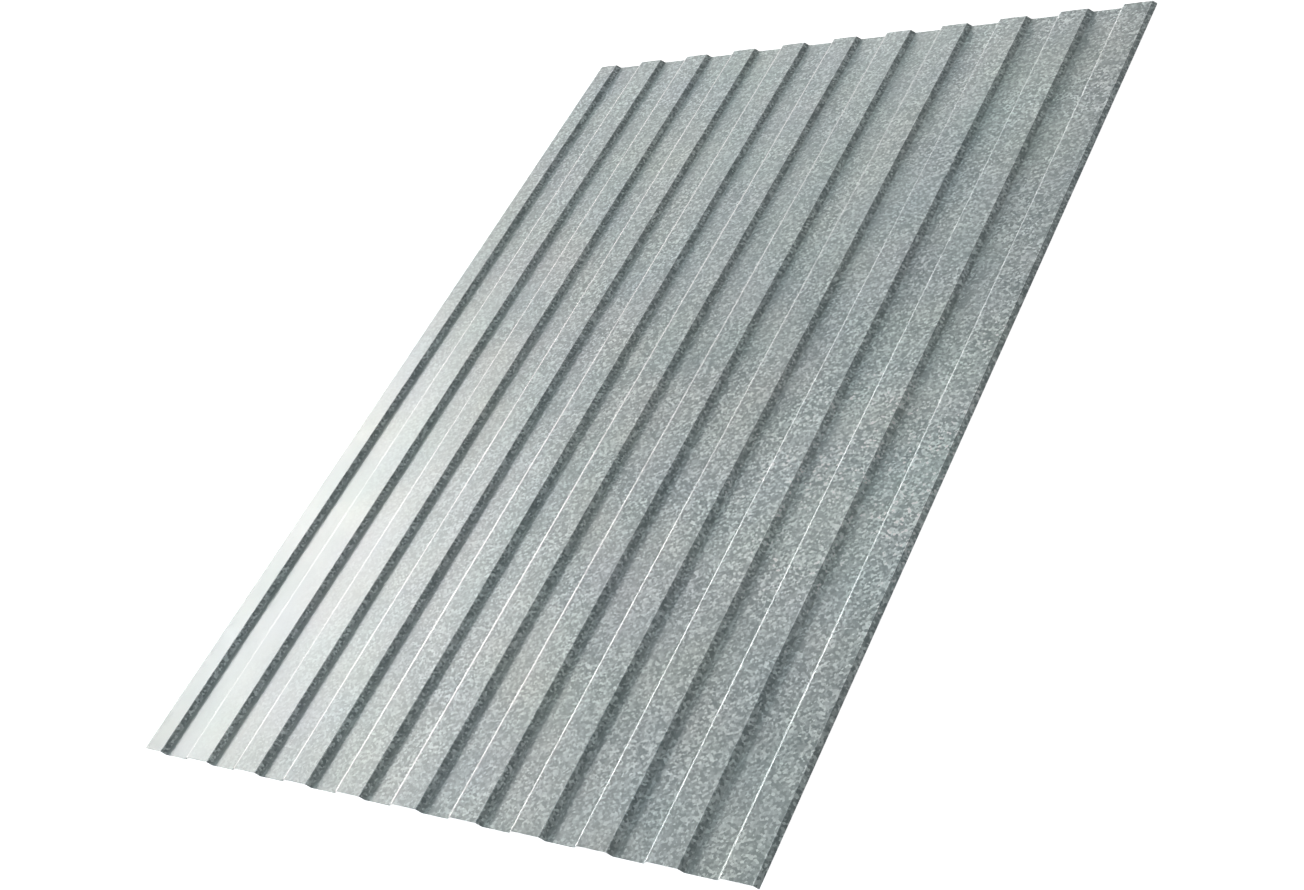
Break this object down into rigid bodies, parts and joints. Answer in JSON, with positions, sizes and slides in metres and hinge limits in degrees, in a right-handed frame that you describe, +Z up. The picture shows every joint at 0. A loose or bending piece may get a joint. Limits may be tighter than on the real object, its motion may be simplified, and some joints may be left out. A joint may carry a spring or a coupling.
{
  "type": "corrugated metal sheet",
  "caption": "Flat-lying roll-formed galvanised steel sheet with shallow flat-topped trapezoidal ribs along its length.",
  "frame": {"origin": "bottom centre of the sheet, on the plane that the valleys rest on", "axes": "+X across the ribs, from the side slit through a crest to the side slit through a web; +Y along the ribs; +Z up, the outer face"},
  "size_m": [1.196, 1.7, 0.008],
  "materials": {
    "galvanised_steel": "satin"
  },
  "bodies": {
    "root": {"profiled_sheet": "galvanised_steel"}
  },
  "joints": []
}
